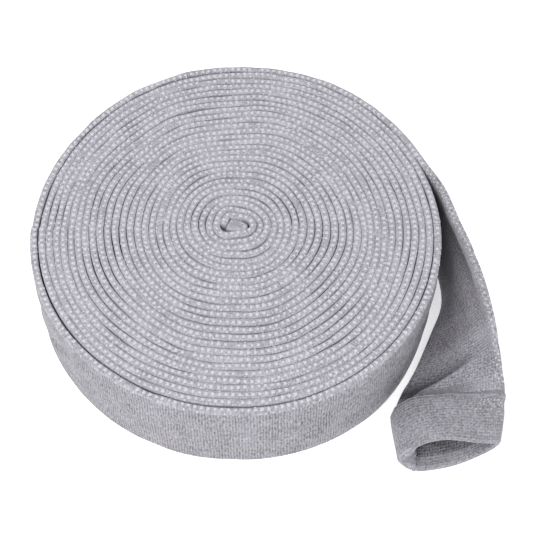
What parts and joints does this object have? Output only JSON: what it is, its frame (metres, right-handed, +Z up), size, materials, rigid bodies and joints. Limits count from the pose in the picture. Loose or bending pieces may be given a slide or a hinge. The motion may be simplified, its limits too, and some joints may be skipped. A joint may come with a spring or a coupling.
{
  "type": "rolled knitted sleeve",
  "caption": "Long tubular knitted sleeve, pressed flat and rolled into a disc, with a free end whose turned-back cuff opens as a mouth.",
  "frame": {"origin": "middle of the roll, on the flat face it rests on", "axes": "+Z up along the roll's axis, -Y the way the open mouth faces, +X towards the side the free end lies on"},
  "size_m": [0.2808, 0.2543, 0.0631],
  "materials": {
    "knit": "heather grey knit with white fleck",
    "cuff_knit": "heather grey knit, doubled",
    "stitching": "pale sewing thread"
  },
  "bodies": {
    "roll_outer": {"outer_turns": "knit"},
    "ring_5": {"ring_5_turns": "knit"},
    "ring_4": {"ring_4_turns": "knit"},
    "ring_3": {"ring_3_turns": "knit"},
    "ring_2": {"ring_2_turns": "knit"},
    "ring_1": {"ring_1_turns": "knit"},
    "core": {"core_turns": "knit"},
    "peel_1": {"peel_segment_1": "knit"},
    "peel_2": {"peel_segment_2": "knit"},
    "peel_3": {"peel_segment_3": "knit"},
    "peel_4": {"peel_segment_4": "knit"},
    "peel_5": {"peel_segment_5": "knit"},
    "peel_6": {"peel_segment_6": "knit"},
    "tail": {"tail_root": "knit"},
    "cuff_end": {"tail_middle": "knit", "mouth_lower_ply": "knit", "cuff_lower": "cuff_knit", "cuff_thread_lower": "stitching"},
    "upper_lip": {"mouth_upper_ply": "knit", "cuff_upper": "cuff_knit", "cuff_thread_upper": "stitching"}
  },
  "joints": [
    {"name": "push_ring_5", "type": "slide", "parent": "roll_outer", "child": "ring_5", "axis": [0, 0, 1], "range_m": [0, 0.006]},
    {"name": "push_ring_4", "type": "slide", "parent": "ring_5", "child": "ring_4", "axis": [0, 0, 1], "range_m": [0, 0.006]},
    {"name": "push_ring_3", "type": "slide", "parent": "ring_4", "child": "ring_3", "axis": [0, 0, 1], "range_m": [0, 0.006]},
    {"name": "push_ring_2", "type": "slide", "parent": "ring_3", "child": "ring_2", "axis": [0, 0, 1], "range_m": [0, 0.006]},
    {"name": "push_ring_1", "type": "slide", "parent": "ring_2", "child": "ring_1", "axis": [0, 0, 1], "range_m": [0, 0.006]},
    {"name": "push_core", "type": "slide", "parent": "ring_1", "child": "core", "axis": [0, 0, 1], "range_m": [0, 0.006]},
    {"name": "peel_bend_1", "type": "hinge", "parent": "roll_outer", "child": "peel_1", "pos_m": [-0.10738, -0.06135, 0.0315], "axis": [0, 0, 1], "range_deg": [0, 30]},
    {"name": "peel_bend_2", "type": "hinge", "parent": "peel_1", "child": "peel_2", "pos_m": [-0.1235, 0, 0.0315], "axis": [0, 0, 1], "range_deg": [0, 30]},
    {"name": "peel_bend_3", "type": "hinge", "parent": "peel_2", "child": "peel_3", "pos_m": [-0.10738, 0.06135, 0.0315], "axis": [0, 0, 1], "range_deg": [0, 30]},
    {"name": "peel_bend_4", "type": "hinge", "parent": "peel_3", "child": "peel_4", "pos_m": [-0.06335, 0.10627, 0.0315], "axis": [0, 0, 1], "range_deg": [0, 30]},
    {"name": "peel_bend_5", "type": "hinge", "parent": "peel_4", "child": "peel_5", "pos_m": [0, 0.12271, 0.0315], "axis": [0, 0, 1], "range_deg": [0, 30]},
    {"name": "peel_bend_6", "type": "hinge", "parent": "peel_5", "child": "peel_6", "pos_m": [0.06445, 0.10597, 0.0315], "axis": [0, 0, 1], "range_deg": [0, 30]},
    {"name": "tail_swing", "type": "hinge", "parent": "peel_6", "child": "tail", "pos_m": [0.10928, 0.06024, 0.0315], "axis": [0, 0, 1], "range_deg": [0, 40]},
    {"name": "tail_lift", "type": "hinge", "parent": "tail", "child": "cuff_end", "pos_m": [0.12752, -0.07129, 0.02294], "axis": [-0.7825, 0.032, -0.6218], "range_deg": [0, 18]},
    {"name": "mouth_open", "type": "hinge", "parent": "cuff_end", "child": "upper_lip", "pos_m": [0.12494, -0.08555, 0.0182], "axis": [-0.935, -0.0265, -0.3537], "range_deg": [0, 20]}
  ],
  "couplings": [
    {"joint": "push_ring_4", "follows": "push_ring_5", "ratio": 1},
    {"joint": "push_ring_3", "follows": "push_ring_5", "ratio": 1},
    {"joint": "push_ring_2", "follows": "push_ring_5", "ratio": 1},
    {"joint": "push_ring_1", "follows": "push_ring_5", "ratio": 1},
    {"joint": "push_core", "follows": "push_ring_5", "ratio": 1},
    {"joint": "peel_bend_2", "follows": "peel_bend_1", "ratio": 1},
    {"joint": "peel_bend_3", "follows": "peel_bend_1", "ratio": 1},
    {"joint": "peel_bend_4", "follows": "peel_bend_1", "ratio": 1},
    {"joint": "peel_bend_5", "follows": "peel_bend_1", "ratio": 1},
    {"joint": "peel_bend_6", "follows": "peel_bend_1", "ratio": 1}
  ]
}
